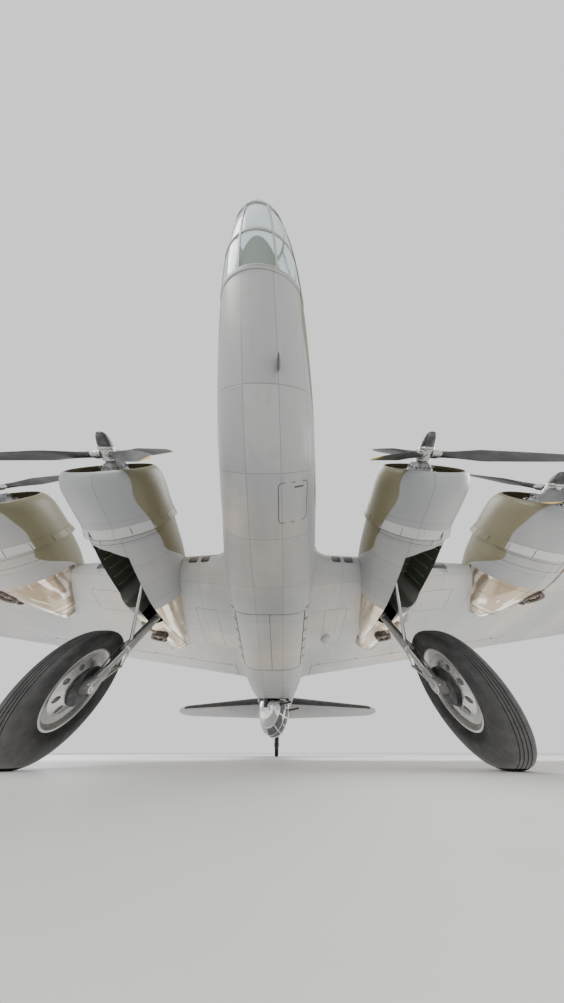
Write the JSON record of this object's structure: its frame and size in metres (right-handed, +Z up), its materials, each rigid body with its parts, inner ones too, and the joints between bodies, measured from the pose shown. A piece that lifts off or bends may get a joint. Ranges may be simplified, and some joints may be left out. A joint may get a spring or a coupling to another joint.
{
  "type": "four-engine military aircraft",
  "caption": "Large propeller aircraft of the 1940s on a tail-wheel gear, with radial engines, a belly ball, opening bay doors and hinged control surfaces.",
  "frame": {"origin": "middle of the underside of the whole aircraft's box, on the ground it parks on", "axes": "+X towards the left wing tip, +Y towards the tail, +Z up; the hull leans back 8.2 degrees"},
  "size_m": [31.63, 22.3538, 5.8349],
  "materials": {
    "grey_paint": "satin",
    "olive_paint": "matte",
    "glazing": "polished",
    "cabin_green": "matte",
    "steel": "satin",
    "alloy": "satin",
    "tyre": "matte",
    "dark_metal": "satin",
    "burnt_steel": "satin",
    "engine_metal": "satin",
    "black_paint": "satin"
  },
  "bodies": {
    "airframe": {"nose_glazing": "glazing", "fuselage_front": "grey_paint", "fuselage_bay": "grey_paint", "fuselage_rear": "grey_paint", "tail_cone": "grey_paint", "tail_glazing": "glazing", "cockpit_glass": "glazing", "cockpit_floor": "cabin_green", "fin": "olive_paint", "tail_strut": "steel", "waist_pane_left": "glazing", "wing_left": "grey_paint", "tailplane_left": "grey_paint", "main_leg_left": "steel", "nacelle_inner_left": "grey_paint", "turbo_inner_left": "burnt_steel", "cowl_inner_left": "grey_paint", "engine_inner_left": "engine_metal", "nacelle_outer_left": "grey_paint", "turbo_outer_left": "burnt_steel", "cowl_outer_left": "grey_paint", "engine_outer_left": "engine_metal", "waist_pane_right": "glazing", "wing_right": "grey_paint", "tailplane_right": "grey_paint", "main_leg_right": "steel", "nacelle_inner_right": "grey_paint", "turbo_inner_right": "burnt_steel", "cowl_inner_right": "grey_paint", "engine_inner_right": "engine_metal", "nacelle_outer_right": "grey_paint", "turbo_outer_right": "burnt_steel", "cowl_outer_right": "grey_paint", "engine_outer_right": "engine_metal"},
    "propeller_inner_left": {"propeller_inner_left": "black_paint"},
    "propeller_outer_left": {"propeller_outer_left": "black_paint"},
    "propeller_inner_right": {"propeller_inner_right": "black_paint"},
    "propeller_outer_right": {"propeller_outer_right": "black_paint"},
    "wheel_left": {"tyre_left": "tyre", "rim_left": "alloy"},
    "wheel_right": {"tyre_right": "tyre", "rim_right": "alloy"},
    "tail_fork": {"tail_fork": "steel"},
    "tail_wheel": {"tail_tyre": "tyre", "tail_rim": "alloy"},
    "rudder": {"rudder": "olive_paint"},
    "elevators": {"elevator_left": "grey_paint", "elevator_right": "grey_paint"},
    "aileron_left": {"aileron_left": "grey_paint"},
    "aileron_right": {"aileron_right": "grey_paint"},
    "flap_left": {"flap_left": "grey_paint"},
    "flap_right": {"flap_right": "grey_paint"},
    "bay_door_left": {"bay_door_left": "grey_paint"},
    "bay_door_right": {"bay_door_right": "grey_paint"},
    "crew_door": {"crew_door": "grey_paint"},
    "ball_yoke": {"ball_yoke": "dark_metal"},
    "belly_ball": {"belly_ball": "alloy"},
    "top_dome": {"top_dome": "glazing"}
  },
  "joints": [
    {"name": "propeller_inner_left_spin", "type": "hinge", "parent": "airframe", "child": "propeller_inner_left", "pos_m": [3.1, -8.18245, 3.05573], "axis": [0, -0.9898, 0.1426], "continuous": true},
    {"name": "propeller_outer_left_spin", "type": "hinge", "parent": "airframe", "child": "propeller_outer_left", "pos_m": [6.65, -7.35083, 3.21777], "axis": [0, -0.9898, 0.1426], "continuous": true},
    {"name": "propeller_inner_right_spin", "type": "hinge", "parent": "airframe", "child": "propeller_inner_right", "pos_m": [-3.1, -8.18245, 3.05573], "axis": [0, -0.9898, 0.1426], "continuous": true},
    {"name": "propeller_outer_right_spin", "type": "hinge", "parent": "airframe", "child": "propeller_outer_right", "pos_m": [-6.65, -7.35083, 3.21777], "axis": [0, -0.9898, 0.1426], "continuous": true},
    {"name": "wheel_left_spin", "type": "hinge", "parent": "airframe", "child": "wheel_left", "pos_m": [3.27, -4.88597, 0.69138], "axis": [1, 0, 0], "continuous": true},
    {"name": "wheel_right_spin", "type": "hinge", "parent": "airframe", "child": "wheel_right", "pos_m": [-3.27, -4.88597, 0.69138], "axis": [1, 0, 0], "continuous": true},
    {"name": "tail_swivel", "type": "hinge", "parent": "airframe", "child": "tail_fork", "pos_m": [0, 7.01615, 0.76454], "axis": [0, 0.1426, 0.9898], "continuous": true},
    {"name": "tail_wheel_spin", "type": "hinge", "parent": "tail_fork", "child": "tail_wheel", "pos_m": [0, 7.08396, 0.32366], "axis": [1, 0, 0], "continuous": true},
    {"name": "rudder_turn", "type": "hinge", "parent": "airframe", "child": "rudder", "pos_m": [0, 8.72306, 1.88252], "axis": [0, 0.1426, 0.9898], "range_deg": [-20, 20]},
    {"name": "elevator_turn", "type": "hinge", "parent": "airframe", "child": "elevators", "pos_m": [0, 8.16113, 1.48864], "axis": [-1, 0, 0], "range_deg": [-20, 15]},
    {"name": "aileron_left_turn", "type": "hinge", "parent": "airframe", "child": "aileron_left", "pos_m": [9.1, -1.39617, 2.58891], "axis": [-0.9965, 0.0031, -0.0839], "range_deg": [-12, 12]},
    {"name": "aileron_right_turn", "type": "hinge", "parent": "airframe", "child": "aileron_right", "pos_m": [-9.1, -1.39617, 2.58891], "axis": [-0.9965, -0.0031, 0.0839], "range_deg": [-12, 12]},
    {"name": "flap_left_drop", "type": "hinge", "parent": "airframe", "child": "flap_left", "pos_m": [1.35, -1.06706, 1.6946], "axis": [-0.9952, 0.0135, -0.0968], "range_deg": [0, 45]},
    {"name": "flap_right_drop", "type": "hinge", "parent": "airframe", "child": "flap_right", "pos_m": [-1.35, -1.06706, 1.6946], "axis": [-0.9952, -0.0135, 0.0968], "range_deg": [0, 45]},
    {"name": "bay_door_left_open", "type": "hinge", "parent": "airframe", "child": "bay_door_left", "pos_m": [0.836, -4.662, 1.89508], "axis": [0, -0.9898, 0.1426], "range_deg": [0, 85]},
    {"name": "bay_door_right_open", "type": "hinge", "parent": "airframe", "child": "bay_door_right", "pos_m": [-0.836, -4.662, 1.89508], "axis": [0, 0.9898, -0.1426], "range_deg": [0, 85]},
    {"name": "crew_door_open", "type": "hinge", "parent": "airframe", "child": "crew_door", "pos_m": [-0.8969, 4.30003, 1.82781], "axis": [0, 0.1426, 0.9898], "range_deg": [0, 100]},
    {"name": "ball_turn", "type": "hinge", "parent": "airframe", "child": "ball_yoke", "pos_m": [0, 0.70471, 0.92639], "axis": [0, 0.1426, 0.9898], "continuous": true},
    {"name": "ball_tilt", "type": "hinge", "parent": "ball_yoke", "child": "belly_ball", "pos_m": [0, 0.70471, 0.92639], "axis": [0.4695, 0.8739, -0.1259], "range_deg": [0, 90]},
    {"name": "dome_turn", "type": "hinge", "parent": "airframe", "child": "top_dome", "pos_m": [0, -5.51174, 4.76225], "axis": [0, 0.1426, 0.9898], "continuous": true}
  ],
  "couplings": [
    {"joint": "aileron_right_turn", "follows": "aileron_left_turn", "ratio": -1},
    {"joint": "flap_right_drop", "follows": "flap_left_drop", "ratio": 1},
    {"joint": "bay_door_right_open", "follows": "bay_door_left_open", "ratio": 1}
  ]
}
